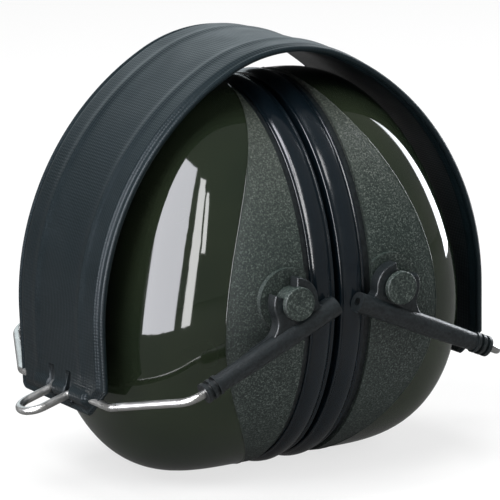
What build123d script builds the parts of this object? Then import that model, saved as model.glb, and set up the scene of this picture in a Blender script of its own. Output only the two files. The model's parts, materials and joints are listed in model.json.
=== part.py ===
"""Folding earmuff hearing protector, folded: both cups lie inside the headband, cushions face to face.

Units are millimetres. X runs ear to ear, Y front (-) to back (+), Z up. The origin is on the floor under the
centre of the folded muff. Left pieces (-X) are modelled and mirrored to the right; front (-Y) to the rear.
"""
from build123d import *
from math import cos, radians, sin
import os

os.makedirs("parts", exist_ok=True)

# ---------------------------------------------------------------- driving dimensions
# cups
cup_height = 105.0            # rim outline, top to bottom
cup_width = 91.0              # rim outline, front to back
cup_depth = 42.5              # rim to outer face
shell_wall = 2.4
rim_gap = 20.2                # between the two rims when folded
width_full = 2.46             # higher keeps the dome's width full further out from the rim
width_close = 0.364           # lower closes the width more abruptly at the outer face
height_full = 2.92            # the same two for its height
height_close = 0.507
dome_drop = 14.0              # the outer face's centre below the rim's, to clear the headband
drop_power = 2.4              # higher keeps the drop near the outer face

# headband
crown_gap = 9.4               # cup rims to the band's middle layer at the crown
band_width = 47.0
crown_radius = 40.0
crown_angle = 27.0            # half angle of the crown arc
shoulder_radius = 73.0
end_angle = 91.0              # heading of the straight ends, 90 is straight down
end_length = 21.5
skin = 0.5                    # vinyl cover
pad = 0.4                     # foam layer each side of the spring strip
welt = 2.6                    # welded side edge of the cover
end_weld = 2.2                # welded edge across each band end
strip_thickness = 0.6
strip_width = 26.0
end_chamfer = (9.8, 8.0)      # cut at the front corners of the band ends, across and up
corner_radius = 2.4           # rear corners of the band ends
cut_past = 0.2                # share of a corner cut that runs on outside the band
knuckle_play = 0.1            # spring strip's knuckle to the pocket round it
slit_play = 0.35              # each side of the wire in the band's slits
slit_rise = 6.0               # slit above the hinge axis
slit_low = 1.6                # slit above the band's end

# fork wire, one bent wire per cup
wire_d = 2.2
fork_angle = 24.0             # arms rise towards the middle when folded
crank_angle = 17.0            # crank falls outwards when folded
hinge_above_end = 4.6
crank_spacing = 9.4
crank_length = 13.5
leg_start = 25.0              # where the hinge axle ends and the legs flare out, from the middle
leg_rise = 12.0               # along the arm direction, hinge axis to the bend at the arm
bend_radius = 6.0
axle_bend_radius = 4.0
crank_bend_radius = 2.6
crank_end_share = 0.95        # end bends' radius over half the crank's spacing
wire_end_back = 2.5           # wire end inside the arm's open end

# suspension arms
arm_gap = 0.5                 # arm to the raised ring on the cup
arm_d = 5.4
arm_tip_d = 4.8
arm_start = 16.0              # along the arm direction from the hinge axis
arm_end = 59.6
ring_at = 49.4                # pivot along the arm direction
ring_offset = 7.2             # pivot above the arm axis
ring_wall = 2.62
ring_width = 4.0
ring_opening = (62.0, 132.0)  # snap opening, degrees from the arm direction
ring_edge = 0.5               # rounding of the ring's edges
web_start = 16.0              # web between ring and arm, and the end of the arm's taper, before the pivot
web_half = 2.2                # its top edge above the arm axis
web_blend = (5.0, 1.6)        # fillets between web and ring, outer and inner side
collar_length = 4.6
collar_d = 5.6
collar_spigot = 3.6
slide_clearance = 0.05

# pivot stud on each side of the cup
stud_d = 7.8
stud_clearance = 0.08
head_lip = 0.55               # head beyond the stud, all round
head_thickness = 1.6
head_edge = 0.45              # rounding of the head
base_d = 17.0                 # raised ring around the stud
base_rise = 0.5               # its face beyond the widest place of the rim
ring_play = 0.3               # ring to base, and ring to head

# cushion
plate_thickness = 1.8
plate_lip = 2.6
plate_opening = (56.0, 76.0)  # width, height of the ear opening
cushion_gap = 0.5             # between the two cushions
cushion_skin = 0.7
cushion_round = 3.2
fit_clearance = 0.25

# absorber foam in the cup
absorber_start = 12.0
absorber_depth = 22.0
absorber_pocket = 9.0
absorber_share = 0.80
foam_clearance = 0.2
liner_thickness = 1.6

# ---------------------------------------------------------------- derived places
rim_x = rim_gap / 2
half_w = cup_width / 2
half_h = cup_height / 2
cup_z = half_h
strip_half = strip_thickness / 2
core = strip_half + pad       # from the band's middle layer to the inside of a skin
band_top = cup_height + crown_gap
base_height = half_w + base_rise                      # face of the raised ring, from the middle plane
arm_spread = base_height + arm_gap + arm_d / 2        # arm axis, from the middle plane
stud_reach = base_height + 2 * ring_play + ring_width + head_thickness
ring_bore = stud_d / 2 + stud_clearance
ring_od = 2 * (ring_bore + ring_wall)
head_d = stud_d + 2 * head_lip
crown = (0.0, band_top - crown_radius)


def on_circle(centre, radius, heading):
    """Point of a circle whose tangent there has fallen by heading degrees from +X."""
    return (centre[0] + radius * sin(radians(heading)), centre[1] + radius * cos(radians(heading)))


shoulder = on_circle(crown, crown_radius - shoulder_radius, crown_angle)
straight = (cos(radians(end_angle)), -sin(radians(end_angle)))


def rail(offset):
    """Right half of the band line, offset outwards: crown top, joint, shoulder middle, end run."""
    top = on_circle(crown, crown_radius + offset, 0)
    joint = on_circle(crown, crown_radius + offset, crown_angle)
    middle = on_circle(shoulder, shoulder_radius + offset, (crown_angle + end_angle) / 2)
    start = on_circle(shoulder, shoulder_radius + offset, end_angle)
    end = (start[0] + end_length * straight[0], start[1] + end_length * straight[1])
    return top, joint, middle, start, end


def flip(point):
    return (-point[0], point[1])


band_end = rail(0)[4]
band_end_z = band_end[1]
hinge_z = band_end_z + hinge_above_end
hinge_x = band_end[0] + hinge_above_end * straight[0] / straight[1]
along = Vector(cos(radians(fork_angle)), 0, sin(radians(fork_angle)))    # arm direction, left side
across = Vector(-sin(radians(fork_angle)), 0, cos(radians(fork_angle)))  # up from the arm
hinge = Vector(-hinge_x, 0, hinge_z)


def fork_point(u, v, y):
    """Left fork's own frame: u along the arm from the hinge axis, v up from it, y front to back."""
    return hinge + along * u + across * v + Vector(0, y, 0)


def fork_plane(y):
    """Plane of the left arm's side view at y, facing the front."""
    return Plane(origin=fork_point(0, 0, y), x_dir=along, z_dir=(0, -1, 0))


pivot = fork_point(ring_at, ring_offset, 0)


def save(shape, name):
    """Label a finished piece and write it as its own STEP file."""
    shape.label = name
    export_step(shape, f"parts/{name}.step")


def save_pair(left, name):
    """A cup piece for the left, and its mirror for the right."""
    save(left, f"{name}_left")
    with BuildPart() as right:
        mirror(left, about=Plane.YZ)
    save(right.part, f"{name}_right")


# ---------------------------------------------------------------- headband
def outline(offset):
    """Edges of the whole band line at an offset, left end to right end."""
    top, joint, middle, start, end = rail(offset)
    Line(flip(end), flip(start))
    ThreePointArc(flip(start), flip(middle), flip(joint))
    ThreePointArc(flip(joint), top, joint)
    ThreePointArc(joint, middle, start)
    Line(start, end)


def band_layer(inner, outer, y_from, y_to, mode=Mode.ADD):
    """Adds a layer of the band between two offsets and two Y places to the part being built, or cuts it."""
    with BuildSketch(Plane.XZ.offset(-y_to)) as layer:
        with BuildLine():
            outline(inner)
            outline(outer)
            Line(rail(inner)[4], rail(outer)[4])
            Line(flip(rail(inner)[4]), flip(rail(outer)[4]))
        make_face()
    extrude(layer.sketch, amount=y_to - y_from, mode=mode)


def add_end_weld(inner, outer):
    """Adds the welded strip across both band ends, between two offsets."""
    run = end_weld / -straight[1]
    with BuildSketch(Plane.XZ.offset(-band_width / 2)) as weld:
        for sign in (-1, 1):
            low_in, low_out = rail(inner)[4], rail(outer)[4]
            high_in = (low_in[0] - run * straight[0], low_in[1] - run * straight[1])
            high_out = (low_out[0] - run * straight[0], low_out[1] - run * straight[1])
            corners = [(sign * x, z) for x, z in (low_in, low_out, high_out, high_in)]
            with BuildLine():
                Polyline(*corners, close=True)
            make_face()
    extrude(weld.sketch, amount=band_width)


def cut_end_corners():
    """Chamfers the front corners and rounds the rear ones of both band ends, cutting a little past them."""
    y_past, z_past = end_chamfer[0] * cut_past, end_chamfer[1] * cut_past
    with BuildSketch(Plane.YZ.offset(-span / 2)) as corners:
        with BuildLine():
            Polyline(
                (-edge - y_past, band_end_z + end_chamfer[1] + z_past),
                (-edge + end_chamfer[0] + y_past, band_end_z - z_past),
                (-edge - y_past, band_end_z - z_past), close=True,
            )
        make_face()
        with Locations((edge - corner_radius, band_end_z + corner_radius)):
            Rectangle(2 * corner_radius, 2 * corner_radius, align=(Align.MIN, Align.MAX))
        with Locations((edge - corner_radius, band_end_z + corner_radius)):
            Circle(corner_radius, mode=Mode.SUBTRACT)
    extrude(corners.sketch, amount=span, mode=Mode.SUBTRACT)


def cut_box(x, y, z, length, width, height):
    """Cuts a box centred at (x, y) and standing on z, on both sides of the middle."""
    with Locations((x, y, z), (-x, y, z)):
        Box(length, width, height, align=(Align.CENTER, Align.CENTER, Align.MIN), mode=Mode.SUBTRACT)


def hinge_cylinders(radius, length, mode=Mode.ADD):
    """Adds or cuts a cylinder on each hinge axis, centred front to back."""
    with Locations((hinge_x, 0, hinge_z), (-hinge_x, 0, hinge_z)):
        Cylinder(radius, length, rotation=(90, 0, 0), mode=mode)


edge = band_width / 2
span = 2 * (band_end[0] + band_width)       # safely longer than the band is wide
knuckle_bore = wire_d / 2 + slide_clearance
knuckle_outer = knuckle_bore + strip_thickness
knuckle_gap = crank_spacing + 2 * crank_bend_radius + 2 * slit_play
knuckle_length = (strip_width - knuckle_gap) / 2
knuckle_y = (strip_width + knuckle_gap) / 4
pocket_bore = knuckle_outer + knuckle_play
pocket_outer = pocket_bore + skin
slit_width = wire_d + 2 * slit_play
slit_bottom = band_end_z + slit_low
slit_top = hinge_z + slit_rise


def cut_hinge():
    """Shapes a skin round the hinge: room for knuckles and strip, the axle's way out, the end corners."""
    room = strip_width + 2 * knuckle_play
    hinge_cylinders(pocket_bore, room, Mode.SUBTRACT)
    cut_box(hinge_x, 0, hinge_z, 2 * core - knuckle_play, room, pocket_outer + knuckle_play)
    hinge_cylinders(wire_d / 2 + slit_play, 2 * band_width, Mode.SUBTRACT)
    cut_end_corners()


with BuildPart() as band_cover_outer:
    band_layer(core, core + skin, -edge, edge)
    band_layer(0, core, edge - welt, edge)
    band_layer(0, core, -edge, -edge + welt)
    add_end_weld(0, core)
    hinge_cylinders(pocket_outer, strip_width + 2 * skin)
    band_layer(-2 * pocket_outer, 0, -edge, edge, Mode.SUBTRACT)
    for side in (-1, 1):
        cut_box(
            hinge_x + pocket_outer, side * crank_spacing / 2, slit_bottom,
            2 * pocket_outer, slit_width, slit_top - slit_bottom,
        )
    cut_hinge()
save(band_cover_outer.part, "band_cover_outer")

with BuildPart() as band_cover_inner:
    band_layer(-core - skin, -core, -edge, edge)
    band_layer(-core, 0, edge - welt, edge)
    band_layer(-core, 0, -edge, -edge + welt)
    add_end_weld(-core, 0)
    hinge_cylinders(pocket_outer, strip_width + 2 * skin)
    band_layer(0, 2 * pocket_outer, -edge, edge, Mode.SUBTRACT)
    cut_hinge()
save(band_cover_inner.part, "band_cover_inner")

pad_edge = edge - welt
pad_bottom = slit_top + skin


def trim_below(z):
    """Removes everything under z from the part being built."""
    with Locations((0, 0, z)):
        Box(span, span, span, align=(Align.CENTER, Align.CENTER, Align.MAX), mode=Mode.SUBTRACT)


with BuildPart() as band_pad_outer:
    band_layer(strip_half, core, -pad_edge, pad_edge)
    trim_below(pad_bottom)
save(band_pad_outer.part, "band_pad_outer")

with BuildPart() as band_pad_inner:
    band_layer(-core, -strip_half, -pad_edge, pad_edge)
    trim_below(pad_bottom)
save(band_pad_inner.part, "band_pad_inner")

with BuildPart() as spring_strip:
    band_layer(-strip_half, strip_half, -strip_width / 2, strip_width / 2)
    trim_below(hinge_z)
    cut_box(hinge_x, 0, hinge_z - crank_spacing, crank_spacing, knuckle_gap, crank_spacing + slit_rise)
    for side in (-1, 1):
        with Locations((hinge_x, side * knuckle_y, hinge_z), (-hinge_x, side * knuckle_y, hinge_z)):
            Cylinder(knuckle_outer, knuckle_length, rotation=(90, 0, 0))
    hinge_cylinders(knuckle_bore, band_width, Mode.SUBTRACT)
save(spring_strip.part, "spring_strip")

# ---------------------------------------------------------------- fork wires
half_crank = crank_spacing / 2
wire_end = arm_end - wire_end_back
crank_turn = radians(fork_angle - crank_angle)
crank_u, crank_v = -crank_length * cos(crank_turn), crank_length * sin(crank_turn)
front_run = [
    (wire_end, 0, -arm_spread), (leg_rise, 0, -arm_spread), (0, 0, -leg_start), (0, 0, -half_crank),
    (crank_u, crank_v, -half_crank),
]
rear_run = [(u, v, -y) for u, v, y in reversed(front_run)]
wire_places = [fork_point(*place) for place in front_run + rear_run]
front_radii = [bend_radius, axle_bend_radius, crank_bend_radius, half_crank * crank_end_share]
with BuildPart() as fork_wire:
    with BuildLine() as wire_path:
        FilletPolyline(*wire_places, radius=front_radii + front_radii[::-1])
    with BuildSketch(Plane(origin=wire_path.line @ 0, z_dir=wire_path.line % 0)):
        Circle(wire_d / 2)
    sweep(path=wire_path.line)
save_pair(fork_wire.part, "fork_wire")

# ---------------------------------------------------------------- suspension arms and their collars
arm_bore = wire_d / 2 + slide_clearance
spigot_bore = collar_spigot / 2 + slide_clearance
body_start = arm_start + collar_length
taper_end = ring_at - web_start


def arm_plane(u):
    """Plane across the left front arm at u, facing the middle."""
    return Plane(origin=fork_point(u, 0, -arm_spread), x_dir=(0, 1, 0), z_dir=along)


with BuildPart() as arm_ring:
    with BuildSketch(fork_plane(-base_height - ring_play)) as ring_side:
        with Locations((ring_at, ring_offset)):
            Circle(ring_od / 2)
        with Locations((taper_end, 0)):
            Rectangle(arm_end - taper_end - ring_edge, 2 * web_half, align=(Align.MIN, Align.CENTER))
        web_top = (web_half - ring_edge / 5, web_half + ring_edge / 5)
        fillet(ring_side.vertices().filter_by_position(Axis.Y, *web_top).sort_by(Axis.X)[1], web_blend[0])
        fillet(ring_side.vertices().filter_by_position(Axis.Y, *web_top).sort_by(Axis.X)[-2], web_blend[1])
        with Locations((ring_at, ring_offset)):
            Circle(ring_bore, mode=Mode.SUBTRACT)
        turns = [radians(turn) for turn in ring_opening]
        sides = [(ring_at + ring_od * cos(turn), ring_offset + ring_od * sin(turn)) for turn in turns]
        with BuildLine():
            Polyline((ring_at, ring_offset), *sides, close=True)
        make_face(mode=Mode.SUBTRACT)
    extrude(amount=ring_width)
    fillet(arm_ring.edges().group_by(Axis.Y)[0], ring_edge)
    fillet(arm_ring.edges().group_by(Axis.Y)[-1], ring_edge)

with BuildPart() as arm_front:
    with BuildSketch(arm_plane(body_start)):
        Circle(arm_tip_d / 2)
    with BuildSketch(arm_plane(taper_end)):
        Circle(arm_d / 2)
    loft()
    with BuildSketch(arm_plane(taper_end)):
        Circle(arm_d / 2)
    extrude(amount=arm_end - taper_end)
    add(arm_ring.part)
    with BuildSketch(fork_plane(-arm_spread + arm_d)):
        with Locations((ring_at, ring_offset)):
            Circle(ring_bore)
    extrude(amount=2 * arm_d, mode=Mode.SUBTRACT)
    with BuildSketch(arm_plane(body_start - 1)):
        Circle(arm_bore)
    extrude(amount=arm_end, mode=Mode.SUBTRACT)
    with BuildSketch(arm_plane(body_start - 1)):
        Circle(spigot_bore)
    extrude(amount=1 + collar_length * 0.8, mode=Mode.SUBTRACT)

rib = collar_length / 5
with BuildPart() as collar_front:
    with BuildSketch(arm_plane(arm_start)):
        Circle(collar_d / 2)
    extrude(amount=collar_length)
    with BuildSketch(arm_plane(arm_start)):
        Circle(collar_spigot / 2)
    extrude(amount=collar_length * 1.7)
    for groove in (1, 3):
        with BuildSketch(arm_plane(arm_start + groove * rib)):
            Circle(collar_d / 2 + 1)
            Circle(collar_d / 2 - 0.7, mode=Mode.SUBTRACT)
        extrude(amount=rib, mode=Mode.SUBTRACT)
    with BuildSketch(arm_plane(arm_start - 1)):
        Circle(arm_bore)
    extrude(amount=collar_length * 3, mode=Mode.SUBTRACT)

for name, front in (("arm", arm_front.part), ("collar", collar_front.part)):
    save_pair(front, f"{name}_front")
    with BuildPart() as rear:
        mirror(front, about=Plane.XZ)
    save_pair(rear.part, f"{name}_rear")


# ---------------------------------------------------------------- cup shells
def cup_plane(depth):
    """Plane across the left cup at a depth from its rim, facing outwards."""
    return Plane(origin=(-rim_x - depth, 0, cup_z), x_dir=(0, -1, 0), z_dir=(-1, 0, 0))


dome_steps = (0.0, 0.15, 0.30, 0.45, 0.58, 0.70, 0.80, 0.88, 0.94, 0.975, 0.993)


def dome(inset):
    """Adds a lofted dome, inset from the cup's outer surface all round, to the part being built."""
    sections = []
    for share in dome_steps:
        width = (half_w - inset) * (1 - share ** width_full) ** width_close
        height = (half_h - inset) * (1 - share ** height_full) ** height_close
        with BuildSketch(cup_plane(share * (cup_depth - inset))) as section:
            with Locations((0, -dome_drop * share ** drop_power)):
                Ellipse(width, height)
        sections.append(section.sketch)
    loft(sections)


with BuildPart() as cup_cavity:
    dome(shell_wall)

stud_wall = half_w * 0.90
with BuildPart() as cup_shell:
    dome(0)
    for side in (-1, 1):
        y = side * stud_wall
        toward = (0, side, 0)
        with BuildSketch(Plane(origin=(pivot.X, y, pivot.Z), z_dir=toward)):
            Circle(base_d / 2)
        extrude(amount=base_height - stud_wall)
        with BuildSketch(Plane(origin=(pivot.X, y, pivot.Z), z_dir=toward)):
            Circle(stud_d / 2)
        extrude(amount=stud_reach - stud_wall)
        with BuildSketch(Plane(origin=(pivot.X, side * stud_reach, pivot.Z), z_dir=(0, -side, 0))):
            Circle(head_d / 2)
        extrude(amount=head_thickness)
    heads = cup_shell.edges().filter_by(GeomType.CIRCLE).group_by(Axis.Y)
    fillet(heads[0] + heads[-1], head_edge)
    add(cup_cavity.part, mode=Mode.SUBTRACT)
    with Locations((0, 0, cup_z)):
        Box(2 * rim_x, 300, 300, mode=Mode.SUBTRACT)
save_pair(cup_shell.part, "cup_shell")

# ---------------------------------------------------------------- cushion plates, cushions and foam
plate_w = half_w - shell_wall - fit_clearance
plate_h = half_h - shell_wall - fit_clearance
with BuildPart() as cushion_plate:
    with BuildSketch(cup_plane(-plate_thickness)):
        Ellipse(half_w - 1.0, half_h - 1.0)
        Ellipse(plate_opening[0] / 2, plate_opening[1] / 2, mode=Mode.SUBTRACT)
    extrude(amount=plate_thickness)
    with BuildSketch(cup_plane(0)):
        Ellipse(plate_w, plate_h)
        Ellipse(plate_w - 1.6, plate_h - 1.6, mode=Mode.SUBTRACT)
    extrude(amount=plate_lip)
save_pair(cushion_plate.part, "cushion_plate")

cushion_depth = rim_x - plate_thickness - cushion_gap / 2
seat = -plate_thickness - cushion_depth
cushion_outer = (half_w - 0.2, half_h - 0.2)
cushion_inner = (plate_opening[0] / 2 - 1.0, plate_opening[1] / 2 - 1.0)

with BuildPart() as cushion_solid:
    with BuildSketch(cup_plane(seat)):
        Ellipse(*cushion_outer)
        Ellipse(*cushion_inner, mode=Mode.SUBTRACT)
    extrude(amount=cushion_depth)
    fillet(cushion_solid.edges().group_by(Axis.X)[-1], cushion_round)

with BuildPart() as cushion_foam:
    with BuildSketch(cup_plane(seat + cushion_skin)):
        Ellipse(cushion_outer[0] - cushion_skin, cushion_outer[1] - cushion_skin)
        Ellipse(cushion_inner[0] + cushion_skin, cushion_inner[1] + cushion_skin, mode=Mode.SUBTRACT)
    extrude(amount=cushion_depth - cushion_skin)
    fillet(cushion_foam.edges().group_by(Axis.X)[-1], cushion_round - cushion_skin)
save_pair(cushion_foam.part, "cushion_foam")

with BuildPart() as cushion_cover:
    add(cushion_solid.part)
    add(cushion_foam.part, mode=Mode.SUBTRACT)
save_pair(cushion_cover.part, "cushion_cover")

pocket_w = half_w * absorber_share * 0.6
pocket_h = half_h * absorber_share * 0.6


def cup_slab(inset, start, thickness):
    """Adds what lies between two depths of a dome to the part being built."""
    dome(inset)
    with BuildSketch(cup_plane(start)) as slab:
        Rectangle(2 * cup_width, 2 * cup_height)
    extrude(slab.sketch, amount=thickness, mode=Mode.INTERSECT)


with BuildPart() as absorber:
    cup_slab(shell_wall + foam_clearance, absorber_start, absorber_depth)
    with BuildSketch(cup_plane(absorber_start)):
        Ellipse(pocket_w, pocket_h)
    extrude(amount=absorber_pocket, mode=Mode.SUBTRACT)
save_pair(absorber.part, "absorber_foam")

with BuildPart() as liner:
    cup_slab(shell_wall + foam_clearance, absorber_start - liner_thickness, liner_thickness)
    with BuildSketch(cup_plane(absorber_start - liner_thickness)):
        Ellipse(pocket_w, pocket_h)
    extrude(amount=liner_thickness, mode=Mode.SUBTRACT)
save_pair(liner.part, "absorber_liner")
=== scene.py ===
"""Looks of the folding earmuff: vinyl band skin, cushions, cup finish, foam, wires, light and camera."""
import json
from math import cos, exp, pi, radians, sin

import bmesh
import bpy
from mathutils import Matrix, Vector, noise


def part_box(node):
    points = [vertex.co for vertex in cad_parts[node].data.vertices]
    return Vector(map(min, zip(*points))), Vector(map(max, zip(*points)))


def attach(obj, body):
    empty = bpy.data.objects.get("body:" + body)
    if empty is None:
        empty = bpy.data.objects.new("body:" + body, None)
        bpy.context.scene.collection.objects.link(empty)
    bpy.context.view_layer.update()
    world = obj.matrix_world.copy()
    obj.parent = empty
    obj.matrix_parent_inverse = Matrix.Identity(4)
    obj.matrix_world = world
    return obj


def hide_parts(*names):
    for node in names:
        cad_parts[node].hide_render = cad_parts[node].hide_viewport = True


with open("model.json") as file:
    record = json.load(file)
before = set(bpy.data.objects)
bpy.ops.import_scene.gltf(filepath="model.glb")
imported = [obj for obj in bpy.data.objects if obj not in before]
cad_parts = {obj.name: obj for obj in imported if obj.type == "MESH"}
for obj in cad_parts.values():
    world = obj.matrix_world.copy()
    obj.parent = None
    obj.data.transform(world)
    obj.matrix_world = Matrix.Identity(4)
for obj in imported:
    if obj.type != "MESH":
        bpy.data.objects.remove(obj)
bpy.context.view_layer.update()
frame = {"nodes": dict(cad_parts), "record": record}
nodes = frame["nodes"]
MM = 0.001
SIDES = {"left": -1, "right": 1}


def lerp(a, b, t):
    return a + (b - a) * t


def smooth(a, b, x):
    """0 below a, 1 above b, smooth between."""
    t = min(max((x - a) / (b - a), 0.0), 1.0)
    return t * t * (3 - 2 * t)


# ---------------------------------------------------------------- camera
VIEW_AZIMUTH, VIEW_ELEVATION, VIEW_ROLL = radians(29.76), radians(12.49), radians(-1.54)
VIEW_DISTANCE = 1.150
VIEW_AIM = Vector((-3.77, -6.10, 58.1)) * MM
VIEW_LENS, VIEW_SENSOR = 309.6, 36.0


def make_camera():
    data = bpy.data.cameras.new("camera")
    data.lens, data.sensor_width = VIEW_LENS, VIEW_SENSOR
    data.clip_start, data.clip_end = 0.01, 50
    camera = bpy.data.objects.new("camera", data)
    bpy.context.scene.collection.objects.link(camera)
    right = Vector((cos(VIEW_AZIMUTH), -sin(VIEW_AZIMUTH), 0))
    flat = cos(VIEW_ELEVATION)
    back = Vector((-sin(VIEW_AZIMUTH) * flat, -cos(VIEW_AZIMUTH) * flat, sin(VIEW_ELEVATION)))
    up = back.cross(right)
    rolled_right = right * cos(VIEW_ROLL) + up * sin(VIEW_ROLL)
    rolled_up = up * cos(VIEW_ROLL) - right * sin(VIEW_ROLL)
    turn = Matrix((rolled_right, rolled_up, back)).transposed().to_4x4()
    camera.matrix_world = Matrix.Translation(VIEW_AIM + back * VIEW_DISTANCE) @ turn
    bpy.context.scene.camera = camera


make_camera()


# ---------------------------------------------------------------- mesh helpers
def new_piece(name, verts, faces, material, uvs=None):
    """Makes a smooth-shaded mesh object; uvs holds one (u, v) per vertex."""
    mesh = bpy.data.meshes.new(name)
    mesh.from_pydata([tuple(v) for v in verts], [], faces)
    mesh.update()
    if uvs:
        layer = mesh.uv_layers.new(name="UVMap")
        for loop in mesh.loops:
            layer.data[loop.index].uv = uvs[loop.vertex_index]
    mesh.polygons.foreach_set("use_smooth", [True] * len(mesh.polygons))
    obj = bpy.data.objects.new(name, mesh)
    bpy.context.scene.collection.objects.link(obj)
    obj.data.materials.append(material)
    return obj


def outward(obj):
    """Turns all faces of a closed mesh outwards."""
    work = bmesh.new()
    work.from_mesh(obj.data)
    bmesh.ops.recalc_face_normals(work, faces=work.faces)
    work.to_mesh(obj.data)
    work.free()
    return obj


def apply_modifiers(obj):
    bpy.context.view_layer.update()
    evaluated = obj.evaluated_get(bpy.context.evaluated_depsgraph_get())
    mesh = bpy.data.meshes.new_from_object(evaluated)
    obj.modifiers.clear()
    obj.data = mesh


def ring_faces(rows, columns, close_rows):
    """Quads of a grid whose columns wrap round, and whose rows do too if close_rows."""
    faces = []
    last = rows if close_rows else rows - 1
    for i in range(last):
        for j in range(columns):
            a, b = i * columns, (i + 1) % rows * columns
            k = (j + 1) % columns
            faces.append((a + j, a + k, b + k, b + j))
    return faces


# ---------------------------------------------------------------- materials
class Shader:
    """A small helper that builds one Principled material from nodes."""

    def __init__(self, name, roughness=0.5, metallic=0.0, specular=0.5):
        self.material = bpy.data.materials.new(name)
        self.material.use_nodes = True
        self.tree = self.material.node_tree
        self.bsdf = self.tree.nodes["Principled BSDF"]
        self.bsdf.inputs["Roughness"].default_value = roughness
        self.bsdf.inputs["Metallic"].default_value = metallic
        self.bsdf.inputs["Specular IOR Level"].default_value = specular
        self.coords = self.add("ShaderNodeTexCoord")
        self.height = None

    def add(self, kind, **values):
        node = self.tree.nodes.new(kind)
        for key, value in values.items():
            setattr(node, key, value)
        return node

    def link(self, source, target):
        self.tree.links.new(source, target)

    def put(self, socket, value):
        if hasattr(value, "links"):
            self.link(value, socket)
        else:
            socket.default_value = value

    def math(self, operation, a, b=0.0, c=0.0, clamp=False):
        node = self.add("ShaderNodeMath", operation=operation, use_clamp=clamp)
        for socket, value in zip(node.inputs, (a, b, c)):
            self.put(socket, value)
        return node.outputs[0]

    def noise(self, scale, detail=2.0, rough=0.5, where="Object", stretch=None):
        node = self.add("ShaderNodeTexNoise")
        node.inputs["Scale"].default_value = scale
        node.inputs["Detail"].default_value = detail
        node.inputs["Roughness"].default_value = rough
        source = self.coords.outputs[where]
        if stretch:
            mapping = self.add("ShaderNodeMapping")
            mapping.inputs["Scale"].default_value = stretch
            self.link(source, mapping.inputs["Vector"])
            source = mapping.outputs["Vector"]
        self.link(source, node.inputs["Vector"])
        return node.outputs["Fac"]

    def ramp(self, value, stops):
        """Colour ramp; stops are (position, grey or colour)."""
        node = self.add("ShaderNodeValToRGB")
        while len(node.color_ramp.elements) < len(stops):
            node.color_ramp.elements.new(0.5)
        for element, (place, colour) in zip(node.color_ramp.elements, stops):
            element.position = place
            element.color = (*colour, 1) if hasattr(colour, "__len__") else (colour, colour, colour, 1)
        self.link(value, node.inputs["Fac"])
        return node.outputs["Color"]

    def mix(self, factor, a, b):
        node = self.add("ShaderNodeMix", data_type="RGBA")
        self.put(node.inputs[0], factor)
        for socket, value in ((node.inputs[6], a), (node.inputs[7], b)):
            self.put(socket, (*value, 1) if isinstance(value, tuple) and len(value) == 3 else value)
        return node.outputs[2]

    def colour(self, value):
        self.put(self.bsdf.inputs["Base Color"], value)

    def roughness(self, value):
        self.put(self.bsdf.inputs["Roughness"], value)

    def bump(self, height, strength, distance):
        """Adds a bump layer over the ones before it."""
        node = self.add("ShaderNodeBump")
        node.inputs["Strength"].default_value = strength
        node.inputs["Distance"].default_value = distance
        self.link(height, node.inputs["Height"])
        if self.height:
            self.link(self.height, node.inputs["Normal"])
        self.height = node.outputs["Normal"]
        self.link(self.height, self.bsdf.inputs["Normal"])


# cup finish: where the spark-eroded field ends, as a lens round the rim, front and rear
RIM_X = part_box("cup_shell_right")[0].x
FIELD_BLEND = 0.25 * MM                        # width of the change from eroded to glossy
LENS_CENTRE = 44.2 * MM
LENS_REACH = 22.0 * MM
LENS_ABOVE, LENS_BELOW = 60.0 * MM, 46.0 * MM
PAINTED_LIGHT_FROM, PAINTED_LIGHT_HEIGHT = 66 * MM, 34 * MM      # painted light: the eroded field is painted paler and warmer towards the top, as if lit from above


def lens_edge(z):
    """|X| of the edge between the eroded field and the gloss at height z."""
    span = LENS_ABOVE if z > LENS_CENTRE else LENS_BELOW
    turn = min(abs(z - LENS_CENTRE) / span, 1.0) * pi / 2
    return RIM_X + LENS_REACH * cos(turn)


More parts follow.
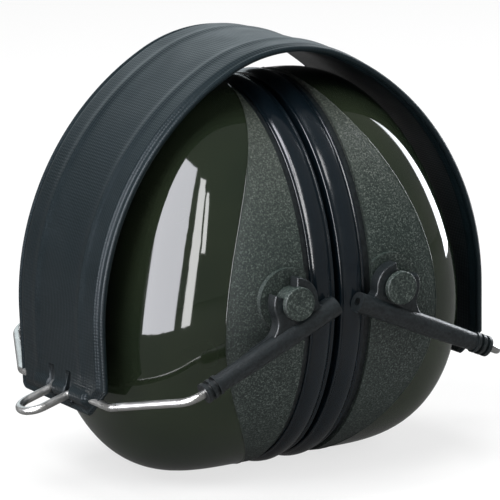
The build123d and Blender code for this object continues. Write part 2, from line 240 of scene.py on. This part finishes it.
def cup_material():
    s = Shader("cup_plastic", roughness=0.12)
    split = s.add("ShaderNodeSeparateXYZ")
    s.link(s.coords.outputs["Object"], split.inputs[0])
    x, y, z = split.outputs
    from_centre = s.math("SUBTRACT", z, LENS_CENTRE)
    above = s.math("GREATER_THAN", from_centre, 0.0)
    span = s.math("ADD", s.math("MULTIPLY", above, LENS_ABOVE - LENS_BELOW), LENS_BELOW)
    turn = s.math("MINIMUM", s.math("DIVIDE", s.math("ABSOLUTE", from_centre), span), 1.0)
    reach = s.math("MULTIPLY", s.math("COSINE", s.math("MULTIPLY", turn, pi / 2)), LENS_REACH)
    edge = s.math("ADD", reach, RIM_X)
    depth = s.math("SUBTRACT", s.math("ABSOLUTE", x), edge)
    gloss = s.math("MULTIPLY_ADD", depth, 1 / FIELD_BLEND, 0.5, clamp=True)
    grain = s.noise(2100, 2.5, 0.62)
    low = s.ramp(grain, [(0.38, (0.007, 0.014, 0.012)), (0.54, (0.019, 0.029, 0.025)), (0.68, (0.075, 0.092, 0.082))])
    # painted light: the next ramp is a lit copy of the speckle and the one above it a shaded copy; they are mixed by
    # height
    high = s.ramp(grain, [(0.38, (0.014, 0.019, 0.015)), (0.54, (0.036, 0.043, 0.036)), (0.68, (0.105, 0.112, 0.096))])
    painted_light_share = s.math("MULTIPLY_ADD", z, 1 / PAINTED_LIGHT_HEIGHT, -PAINTED_LIGHT_FROM / PAINTED_LIGHT_HEIGHT, clamp=True)
    speck_with_painted_light = s.mix(painted_light_share, low, high)
    patch = s.noise(35, 2.0)
    deep = s.ramp(patch, [(0.3, (0.0085, 0.0135, 0.0080)), (0.7, (0.0150, 0.0205, 0.0115))])
    s.colour(s.mix(gloss, speck_with_painted_light, deep))
    rough = s.ramp(grain, [(0.3, 0.62), (0.7, 0.42)])
    smear = s.ramp(s.noise(60, 3.0), [(0.3, 0.035), (0.75, 0.075)])
    s.roughness(s.mix(gloss, rough, smear))
    s.bump(s.math("MULTIPLY", grain, s.math("SUBTRACT", 1.0, gloss)), 0.55, 0.25 * MM)
    s.bump(s.noise(45, 2.0), 0.06, 0.5 * MM)
    return s.material


WEAVE_PITCH = 0.85 * MM


def vinyl_band_material():
    s = Shader("band_vinyl", roughness=0.4, specular=0.22)
    split = s.add("ShaderNodeSeparateXYZ")
    s.link(s.coords.outputs["UV"], split.inputs[0])
    pitch = 2 * pi / WEAVE_PITCH
    warp = s.math("SINE", s.math("MULTIPLY", split.outputs[0], pitch))
    weft = s.math("SINE", s.math("MULTIPLY", split.outputs[1], pitch))
    weave = s.math("MULTIPLY_ADD", s.math("ADD", warp, weft), 0.25, 0.5)
    broad = s.noise(28, 3.0)
    base = s.mix(broad, (0.0035, 0.0080, 0.0105), (0.0065, 0.0125, 0.0155))
    # painted sheen: the weave's crests are painted lighter, as highlights on them
    painted_weave_sheen = s.ramp(weave, [(0.35, 0.0), (0.95, 0.15)])
    s.colour(s.mix(painted_weave_sheen, base, (0.016, 0.024, 0.028)))
    s.roughness(s.ramp(s.noise(90, 3.0), [(0.3, 0.34), (0.75, 0.46)]))
    s.bump(weave, 0.5, 0.14 * MM)
    s.bump(s.noise(900, 2.0), 0.25, 0.10 * MM)
    s.bump(s.noise(40, 2.0), 0.2, 0.4 * MM)
    return s.material


def cushion_material():
    s = Shader("cushion_vinyl", roughness=0.22, specular=0.55)
    s.colour(s.mix(s.noise(40, 2.0), (0.0020, 0.0045, 0.0070), (0.0045, 0.0085, 0.0120)))
    s.roughness(s.ramp(s.noise(140, 3.0), [(0.3, 0.15), (0.75, 0.28)]))
    s.bump(s.noise(900, 2.0), 0.10, 0.08 * MM)
    s.bump(s.noise(60, 2.0, stretch=(1, 1, 0.5)), 0.12, 0.6 * MM)
    return s.material


def moulded_black_material(name, roughness, grain_size):
    s = Shader(name, roughness=roughness)
    grain = s.noise(grain_size, 2.0, 0.6)
    s.colour(s.ramp(grain, [(0.35, (0.0030, 0.0050, 0.0060)), (0.65, (0.0120, 0.0160, 0.0180))]))
    s.roughness(s.ramp(grain, [(0.3, roughness + 0.12), (0.7, roughness - 0.06)]))
    s.bump(grain, 0.5, 0.18 * MM)
    return s.material


def wire_material(name, colour, roughness):
    s = Shader(name, roughness=roughness, metallic=1.0)
    streak = s.noise(300, 3.0)
    s.colour(s.mix(streak, tuple(c * 0.72 for c in colour), colour))
    s.roughness(s.ramp(streak, [(0.3, roughness + 0.14), (0.7, roughness - 0.06)]))
    s.bump(s.noise(1200, 2.0), 0.12, 0.05 * MM)
    return s.material


def foam_material(name, dark, light):
    s = Shader(name, roughness=0.95, specular=0.2)
    cell = s.noise(900, 4.0, 0.7)
    s.colour(s.ramp(cell, [(0.35, dark), (0.65, light)]))
    s.bump(cell, 0.9, 0.5 * MM)
    return s.material


materials = {
    "cup_plastic": cup_material(),
    "band_vinyl": vinyl_band_material(),
    "cushion_vinyl": cushion_material(),
    "arm_plastic": moulded_black_material("arm_plastic", 0.36, 1300),
    "collar_plastic": moulded_black_material("collar_plastic", 0.34, 1500),
    "plate_plastic": moulded_black_material("plate_plastic", 0.42, 1100),
    "wire_steel": wire_material("wire_steel", (0.62, 0.62, 0.60), 0.30),
    "spring_steel": wire_material("spring_steel", (0.30, 0.31, 0.34), 0.35),
    "foam": foam_material("foam", (0.020, 0.021, 0.023), (0.060, 0.062, 0.066)),
    "liner_cloth": foam_material("liner_cloth", (0.012, 0.012, 0.013), (0.040, 0.040, 0.043)),
}
for part in frame["record"]["subparts"]:
    shown = nodes[part["node"]]
    shown.data.materials.clear()
    shown.data.materials.append(materials[part["material_slot"]])


# ---------------------------------------------------------------- headband skin
CROWN_RADIUS, CROWN_ANGLE = 40.0, 27.0
SHOULDER_RADIUS, END_ANGLE, END_LENGTH = 73.0, 91.0, 21.5
BAND_TOP = 114.4
BAND_EDGE = 23.5
FACE = 1.2                      # half thickness of the padded middle
BEAD, BEAD_WIDTH = 0.75, 0.55   # bead along the welded edge: half thickness and width
WELD, WELD_WIDTH = 0.42, 1.25   # welded groove behind the bead
PUFF_WIDTH = 2.6                # from the groove up to the padded middle
RIDGE_AT, RIDGE_HEIGHT, RIDGE_WIDTH = 12.2, 0.40, 1.5
CHAMFER = (9.8, 8.0)
CORNER = 2.4
HINGE_FROM_END, POCKET_RADIUS, POCKET_REACH, POCKET_FADE = 4.6, 2.35, 13.5, 2.5


def rail_point(s):
    """Point and heading in degrees of the band's middle line, s mm from the crown, right half."""
    crown_run = CROWN_RADIUS * radians(CROWN_ANGLE)
    shoulder_run = SHOULDER_RADIUS * radians(END_ANGLE - CROWN_ANGLE)
    centre = Vector((0, BAND_TOP - CROWN_RADIUS))
    if s <= crown_run:
        angle = s / CROWN_RADIUS
        return centre + Vector((sin(angle), cos(angle))) * CROWN_RADIUS, angle
    turn = radians(CROWN_ANGLE)
    centre = centre + Vector((sin(turn), cos(turn))) * (CROWN_RADIUS - SHOULDER_RADIUS)
    angle = min(turn + (s - crown_run) / SHOULDER_RADIUS, radians(END_ANGLE))
    point = centre + Vector((sin(angle), cos(angle))) * SHOULDER_RADIUS
    extra = max(s - crown_run - shoulder_run, 0.0)
    return point + Vector((cos(angle), -sin(angle))) * extra, angle


BAND_HALF = CROWN_RADIUS * radians(CROWN_ANGLE) + SHOULDER_RADIUS * radians(END_ANGLE - CROWN_ANGLE) + END_LENGTH
BAND_X_AT_HINGE = rail_point(BAND_HALF - HINGE_FROM_END)[0].x


def band_end(y):
    """Length of the band's half at a place across it: a cut front corner and a round rear one."""
    front = max(0.0, CHAMFER[0] - (y + BAND_EDGE)) / CHAMFER[0] * CHAMFER[1]
    inside = y - (BAND_EDGE - CORNER)
    rear = CORNER - (max(CORNER**2 - inside**2, 0.0)) ** 0.5 if inside > 0 else 0.0
    return BAND_HALF - front - rear


def band_point(s, y, outer):
    """A point of the band's skin in metres; s runs from the left end, negative, to the right end."""
    point, angle = rail_point(abs(s))
    rim = min(BAND_EDGE - abs(y), band_end(y) - abs(s))
    rise = smooth(WELD_WIDTH, WELD_WIDTH + PUFF_WIDTH, rim)
    half = lerp(WELD, FACE, rise)
    if rim < 2 * BEAD_WIDTH:
        half += (BEAD - WELD) * max(1 - ((rim - BEAD_WIDTH) / BEAD_WIDTH) ** 2, 0.0) ** 0.5
        half *= min(max(rim, 0.0) / (0.5 * BEAD_WIDTH), 1.0) ** 0.5 * 0.75 + 0.25
    from_hinge = abs(s) - (BAND_HALF - HINGE_FROM_END)
    pocket = max(POCKET_RADIUS**2 - from_hinge**2, 0.0) ** 0.5
    side = 1 - smooth(POCKET_REACH, POCKET_REACH + POCKET_FADE, abs(y))
    half = max(half, pocket * side)
    if outer:
        swell = RIDGE_HEIGHT * exp(-(((abs(y) - RIDGE_AT) / RIDGE_WIDTH) ** 2))
        half += swell * rise * smooth(3, 16, band_end(y) - abs(s))
        half += 0.06 * rise * noise.noise(Vector((s * 0.05, y * 0.09, 3.1)))
    else:
        half = -half
    sign = -1 if s < 0 else 1
    return Vector((sign * (point.x + half * sin(angle)), y, point.y + half * cos(angle))) * MM


def stations(half, step, fine, fine_run):
    """Places from -half to half, close together near both ends."""
    right = []
    place = 0.0
    while place < half - fine_run:
        right.append(place)
        place += step
    count = int(fine_run / fine)
    start = half - fine_run
    right += [start + fine_run * k / count for k in range(count + 1)]
    return [-p for p in reversed(right[1:])] + right


def make_band_skin():
    across = stations(BAND_EDGE, 0.8, 0.28, 4.2)
    shares = stations(1.0, 0.011, 0.0024, 0.05)
    verts, uvs = [], []
    loop_length = 2 * len(across)
    for share in shares:
        for outer in (True, False):
            for y in across if outer else reversed(across):
                s = share * band_end(y)
                verts.append(band_point(s, y, outer))
                uvs.append((s * MM, y * MM))
    faces = []
    for i in range(len(shares) - 1):
        for j in range(loop_length):
            k = (j + 1) % loop_length
            a, b = i * loop_length, (i + 1) * loop_length
            faces.append((a + j, b + j, b + k, a + k))
    half_loop = len(across)
    for i in (0, len(shares) - 1):
        a = i * loop_length
        for j in range(half_loop - 1):
            faces.append((a + j, a + j + 1, a + loop_length - 2 - j, a + loop_length - 1 - j))
    skin = new_piece("band_skin", verts, faces, materials["band_vinyl"], uvs=uvs)
    outward(skin)
    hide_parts("band_cover_outer", "band_cover_inner")
    return skin


SLIT_AT, SLIT_WIDTH, SLIT_LOW, SLIT_HIGH = 4.7, 2.9, 1.6, 10.6


def cut_slits(skin):
    """Cuts the two slits at each band end that the fork's crank turns through."""
    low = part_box("band_cover_outer")[0].z
    skin_x = (BAND_X_AT_HINGE + FACE / 2) * MM
    verts, faces = [], []
    for sx in (-1, 1):
        for sy in (-1, 1):
            start = len(verts)
            for dz in (SLIT_LOW, SLIT_HIGH):
                for dx in (-FACE / 2, 2 * POCKET_RADIUS):
                    for dy in (-SLIT_WIDTH / 2, SLIT_WIDTH / 2):
                        verts.append((sx * (skin_x + dx * MM), (sy * SLIT_AT + dy) * MM, low + dz * MM))
            for f in ((0, 1, 3, 2), (4, 6, 7, 5), (0, 4, 5, 1), (2, 3, 7, 6), (0, 2, 6, 4), (1, 5, 7, 3)):
                faces.append(tuple(start + i for i in f))
    cutter = new_piece("slit_cutter", verts, faces, materials["band_vinyl"])
    outward(cutter)
    work = skin.modifiers.new("slits", "BOOLEAN")
    work.operation, work.solver, work.object = "DIFFERENCE", "EXACT", cutter
    apply_modifiers(skin)
    bpy.data.objects.remove(cutter)


band_skin = make_band_skin()
cut_slits(band_skin)
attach(band_skin, "headband")


# ---------------------------------------------------------------- cushions
def cushion_profile():
    """Section of a cushion in mm, as (distance from its plate, distance in from the outline)."""
    return [
        (0.00, 1.20), (0.00, 0.45), (0.20, 0.05), (0.55, 0.02), (0.80, 0.30), (0.95, 0.42), (1.15, 0.20),
        (1.70, -0.35), (2.60, -0.72), (3.80, -0.80), (4.90, -0.60), (5.80, -0.15), (6.35, 0.30), (6.62, 0.42),
        (6.85, 0.15), (7.15, 0.05), (7.42, 0.30), (7.52, 0.80), (7.45, 1.20), (7.50, 2.20), (7.70, 4.20),
        (7.80, 6.50), (7.82, 8.60), (7.78, 10.8), (7.55, 12.9), (7.00, 14.8), (6.10, 16.3), (4.90, 17.3),
        (3.60, 17.9), (2.20, 18.1), (1.00, 18.0), (0.10, 17.6), (0.00, 16.8), (0.00, 12.0), (0.00, 6.0),
    ]


def make_cushion(side):
    sign = SIDES[side]
    low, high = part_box(f"cushion_cover_{side}")
    centre_z = (low.z + high.z) / 2
    half_w, half_h = (high.y - low.y) / 2, (high.z - low.z) / 2
    foot_x = sign * max(abs(low.x), abs(high.x))
    profile = cushion_profile()
    around = 220
    verts, uvs = [], []
    for i in range(around):
        turn = 2 * pi * i / around
        radial = Vector((0, cos(turn) / half_w, sin(turn) / half_h)).normalized()
        edge = Vector((0, half_w * cos(turn), half_h * sin(turn)))
        for depth, inset in profile:
            seed = Vector((cos(turn) * 3.2, sin(turn) * 3.2, depth * 0.35 + sign * 7))
            swell = 0.16 * noise.noise(seed) + 0.05 * noise.noise(seed * 3.1)
            body = smooth(1.4, 3.5, depth) * (1 if inset < 17.5 else 0.4)
            place = edge - radial * (inset - swell * body) * MM
            verts.append((foot_x - sign * (depth + swell * 0.25 * body) * MM, place.y, centre_z + place.z))
            uvs.append((i / around, depth / 8))
    cushion = new_piece(
        f"cushion_{side}", verts, ring_faces(around, len(profile), True), materials["cushion_vinyl"], uvs=uvs
    )
    outward(cushion)
    work = cushion.modifiers.new("round", "SUBSURF")
    work.levels = work.render_levels = 1
    apply_modifiers(cushion)
    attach(cushion, f"cup_{side}")
    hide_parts(f"cushion_cover_{side}")


for name in SIDES:
    make_cushion(name)


# ---------------------------------------------------------------- edge line of the eroded field on the cups
WIDTH_FULL, WIDTH_CLOSE, HEIGHT_FULL, HEIGHT_CLOSE, DROP_POWER = 2.46, 0.364, 2.92, 0.507, 2.4
DOME_DROP = 14.0 * MM
shell_low, shell_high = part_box("cup_shell_right")
CUP_DEPTH = 42.5 * MM
HALF_H = (shell_high.z - shell_low.z) / 2
HALF_W = 45.5 * MM
CUP_Z = (shell_high.z + shell_low.z) / 2


def dome_y(x, z):
    """Half width of the cup at |x| and z, or None where the cup isn't."""
    share = max((x - RIM_X) / CUP_DEPTH, 0.0)
    tall = HALF_H * (1 - share**HEIGHT_FULL) ** HEIGHT_CLOSE
    height = (z - CUP_Z + DOME_DROP * share**DROP_POWER) / tall
    if abs(height) >= 1:
        return None
    return HALF_W * (1 - share**WIDTH_FULL) ** WIDTH_CLOSE * (1 - height**2) ** 0.5


FIELD_LINE = 0.32 * MM


def make_field_edge(side, end):
    """The thin raised line round the eroded field, a tube laid half into the cup."""
    sign = SIDES[side]
    radius = FIELD_LINE / 2
    points = []
    steps = 120
    for i in range(steps + 1):
        z = lerp(LENS_CENTRE - LENS_BELOW, LENS_CENTRE + LENS_ABOVE, i / steps)
        y = dome_y(lens_edge(z), z)
        if y:
            points.append(Vector((sign * lens_edge(z), end * y, z)))
    verts, faces = [], []
    ring = 8
    for i, p in enumerate(points):
        ahead = (points[min(i + 1, len(points) - 1)] - points[max(i - 1, 0)]).normalized()
        out = Vector((0, end, 0)) - ahead * ahead.y * end
        out.normalize()
        across = ahead.cross(out)
        for k in range(ring):
            t = 2 * pi * k / ring
            verts.append(p + (out * cos(t) + across * sin(t)) * radius)
    for i in range(len(points) - 1):
        for k in range(ring):
            n = (k + 1) % ring
            faces.append((i * ring + k, i * ring + n, (i + 1) * ring + n, (i + 1) * ring + k))
    faces.append(tuple(range(ring - 1, -1, -1)))
    faces.append(tuple(range((len(points) - 1) * ring, len(points) * ring)))
    line = new_piece(f"field_edge_{'front' if end < 0 else 'rear'}_{side}", verts, faces, materials["cup_plastic"])
    outward(line)
    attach(line, f"cup_{side}")


for name in SIDES:
    for end in (-1, 1):
        make_field_edge(name, end)


# ---------------------------------------------------------------- foam absorber and its liner inside each cup
FOAM_GAP = 2.8 * MM
POCKET_HALF = (21.8 * MM, 25.2 * MM)
ABSORBER_START, ABSORBER_DEPTH, POCKET_DEPTH, LINER_THICKNESS = 12.0, 22.0, 9.0, 1.6


def wall_loop(depth, part, around):
    """Closed loop inside the cup at a depth in mm from its rim; part is its share of the free room."""
    share = depth * MM / CUP_DEPTH
    tall = HALF_H * (1 - share**HEIGHT_FULL) ** HEIGHT_CLOSE - FOAM_GAP
    wide = HALF_W * (1 - share**WIDTH_FULL) ** WIDTH_CLOSE - FOAM_GAP
    middle = CUP_Z - DOME_DROP * share**DROP_POWER
    turns = [2 * pi * k / around for k in range(around)]
    return [Vector((RIM_X + depth * MM, wide * part * cos(t), middle + tall * part * sin(t))) for t in turns]


def pocket_loop(depth, grow, around):
    """Closed loop of the oval pocket in the foam's face, grown by a few tenths of a millimetre at its mouth."""
    wide, tall = POCKET_HALF[0] + grow * MM, POCKET_HALF[1] + grow * MM
    turns = [2 * pi * k / around for k in range(around)]
    return [Vector((RIM_X + depth * MM, wide * cos(t), CUP_Z + tall * sin(t))) for t in turns]


def make_soft_rings(name, node, side, loops, closed, slot):
    """A soft piece swept through its loops, with the small dents of cut foam or felt."""
    around = len(loops[0])
    verts = []
    for loop in loops:
        for p in loop:
            dent = noise.noise(p / (3.5 * MM)) * 0.18 * MM
            verts.append((SIDES[side] * (p.x + dent), p.y * (1 - abs(dent)), p.z))
    faces = ring_faces(len(loops), around, closed)
    if not closed:
        faces.append(tuple(range(around - 1, -1, -1)))
        faces.append(tuple(range((len(loops) - 1) * around, len(loops) * around)))
    piece = new_piece(name, verts, faces, materials[slot])
    outward(piece)
    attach(piece, f"cup_{side}")
    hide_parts(node)


def make_absorber(side):
    around = 160
    start, end = ABSORBER_START, ABSORBER_START + ABSORBER_DEPTH
    floor = start + POCKET_DEPTH
    outside = [(end - 0.2, 0.5), (end, 0.8), (end - 0.1, 0.93), (end - 0.8, 0.985), (end - 2, 1.0)]
    outside += [(start + 16, 1.0), (start + 12, 1.0), (start + 8, 1.0), (start + 4, 1.0), (start + 1, 1.0)]
    outside += [(start + 0.3, 0.99), (start + 0.05, 0.97), (start, 0.85)]
    loops = [wall_loop(depth, part, around) for depth, part in outside]
    pocket = [(start, 1.0), (start + 0.3, 0.2), (start + 1, 0.0), (floor - 1, 0.0), (floor - 0.1, -0.6), (floor, -4)]
    loops += [pocket_loop(depth, grow, around) for depth, grow in pocket]
    make_soft_rings(f"absorber_{side}", f"absorber_foam_{side}", side, loops, False, "foam")

    top, back = start - LINER_THICKNESS, start - 0.02
    rim = [wall_loop(d, p, around) for d, p in ((back, 0.99), (start - 0.4, 1.0), (top + 0.4, 1.0), (top, 0.985))]
    rim += [wall_loop(top - 0.02, 0.9, around)]
    mouth = [(top - 0.02, 2.0), (top + 0.1, 0.3), (top + 0.5, 0.0), (start - 0.5, 0.0), (back, 0.3)]
    rim += [pocket_loop(d, g, around) for d, g in mouth]
    make_soft_rings(f"liner_{side}", f"absorber_liner_{side}", side, rim, True, "liner_cloth")


for name in SIDES:
    make_absorber(name)


# ---------------------------------------------------------------- light, floor and world
def light_path_mix(tree, camera, glossy):
    """Factor: 1 for camera rays, glossy for glossy and transmission rays, 0 otherwise."""
    path = tree.nodes.new("ShaderNodeLightPath")
    shiny = tree.nodes.new("ShaderNodeMath")
    shiny.operation = "MAXIMUM"
    tree.links.new(path.outputs["Is Glossy Ray"], shiny.inputs[0])
    tree.links.new(path.outputs["Is Transmission Ray"], shiny.inputs[1])
    dim = tree.nodes.new("ShaderNodeMath")
    dim.operation = "MULTIPLY"
    dim.inputs[1].default_value = glossy
    tree.links.new(shiny.outputs[0], dim.inputs[0])
    both = tree.nodes.new("ShaderNodeMath")
    both.operation = "MULTIPLY_ADD"
    both.inputs[1].default_value = camera
    tree.links.new(path.outputs["Is Camera Ray"], both.inputs[0])
    tree.links.new(dim.outputs[0], both.inputs[2])
    return both.outputs[0]


GLOSSY_BACKGROUND = 0.10      # brightness of the background in mirrors and glosses
ROOM_LIGHT = 0.22             # least brightness of the background for any ray
FLOOR_GLOW, FLOOR_GLOW_IN_GLOSS = 0.72, 0.9
FLOOR_STRENGTH_IN_GLOSS = 0.12


def make_world():
    world = bpy.data.worlds.new("studio")
    bpy.context.scene.world = world
    world.use_nodes = True
    tree = world.node_tree
    background = tree.nodes["Background"]
    background.inputs["Color"].default_value = (1, 1, 1, 1)
    light = tree.nodes.new("ShaderNodeMath")
    light.operation = "MAXIMUM"
    tree.links.new(light_path_mix(tree, 1.0, GLOSSY_BACKGROUND), light.inputs[0])
    light.inputs[1].default_value = ROOM_LIGHT
    tree.links.new(light.outputs[0], background.inputs["Strength"])


def make_floor():
    size = 6.0
    mesh = bpy.data.meshes.new("floor")
    mesh.from_pydata([(-size, -size, 0), (size, -size, 0), (size, size, 0), (-size, size, 0)], [], [(0, 1, 2, 3)])
    floor = bpy.data.objects.new("floor", mesh)
    bpy.context.scene.collection.objects.link(floor)
    material = bpy.data.materials.new("floor")
    material.use_nodes = True
    tree = material.node_tree
    bsdf = tree.nodes["Principled BSDF"]
    bsdf.inputs["Base Color"].default_value = (0.82, 0.82, 0.82, 1)
    bsdf.inputs["Roughness"].default_value = 0.9
    bsdf.inputs["Specular IOR Level"].default_value = 0.1
    glow = tree.nodes.new("ShaderNodeEmission")
    tree.links.new(light_path_mix(tree, 1.0, FLOOR_STRENGTH_IN_GLOSS), glow.inputs["Strength"])
    mix = tree.nodes.new("ShaderNodeMixShader")
    tree.links.new(light_path_mix(tree, FLOOR_GLOW, FLOOR_GLOW_IN_GLOSS), mix.inputs["Fac"])
    tree.links.new(bsdf.outputs[0], mix.inputs[1])
    tree.links.new(glow.outputs[0], mix.inputs[2])
    tree.links.new(mix.outputs[0], tree.nodes["Material Output"].inputs["Surface"])
    floor.data.materials.append(material)


def direction(azimuth, elevation):
    """Unit vector; azimuth in degrees from -Y towards +X, elevation up."""
    a, e = radians(azimuth), radians(elevation)
    return Vector((sin(a) * cos(e), -cos(a) * cos(e), sin(e)))


def panel(name, azimuths, elevations, distance, strength, tint=(1, 1, 1)):
    """A bright curved card that only mirrors and glosses see, over a range of directions."""
    centre = Vector((0, 0, CUP_Z))
    steps = 12
    verts, faces = [], []
    for i in range(steps + 1):
        for j in range(steps + 1):
            azimuth = lerp(azimuths[0], azimuths[1], i / steps)
            elevation = lerp(elevations[0], elevations[1], j / steps)
            verts.append(centre + direction(azimuth, elevation) * distance)
    for i in range(steps):
        for j in range(steps):
            a = i * (steps + 1) + j
            faces.append((a, a + 1, a + steps + 2, a + steps + 1))
    material = bpy.data.materials.new(name)
    material.use_nodes = True
    tree = material.node_tree
    glow = tree.nodes.new("ShaderNodeEmission")
    glow.inputs["Strength"].default_value = strength
    glow.inputs["Color"].default_value = (*tint, 1)
    tree.links.new(glow.outputs[0], tree.nodes["Material Output"].inputs["Surface"])
    card = new_piece(name, verts, faces, material)
    card.visible_camera = card.visible_diffuse = card.visible_shadow = False


def lamp(name, azimuth, elevation, distance, size, power):
    data = bpy.data.lights.new(name, "AREA")
    data.shape, data.size, data.energy = "DISK", size, power
    obj = bpy.data.objects.new(name, data)
    bpy.context.scene.collection.objects.link(obj)
    target = Vector((0, 0, CUP_Z))
    obj.location = target + direction(azimuth, elevation) * distance
    obj.rotation_euler = (obj.location - target).to_track_quat("Z", "Y").to_euler()
    obj.visible_glossy = False


make_world()
make_floor()
lamp("key", -70, 50, 1.2, 0.7, 14)
lamp("fill", 40, 35, 1.4, 0.9, 9)
lamp("top", 150, 78, 1.2, 0.8, 12)
panel("window_wide", (-96, -65), (-13, 56), 0.34, 13, (0.93, 0.93, 1.0))
panel("window_narrow", (-58, -50), (-14, 52), 0.34, 14)
panel("window_bar", (-48, -44), (20, 46), 0.34, 14)
panel("window_behind", (120, 190), (8, 52), 0.9, 1.3, (0.85, 0.95, 1.0))
panel("window_right", (100, 116), (-8, 60), 0.5, 10, (0.92, 0.95, 1.0))

bpy.context.scene.view_settings.view_transform = "Standard"
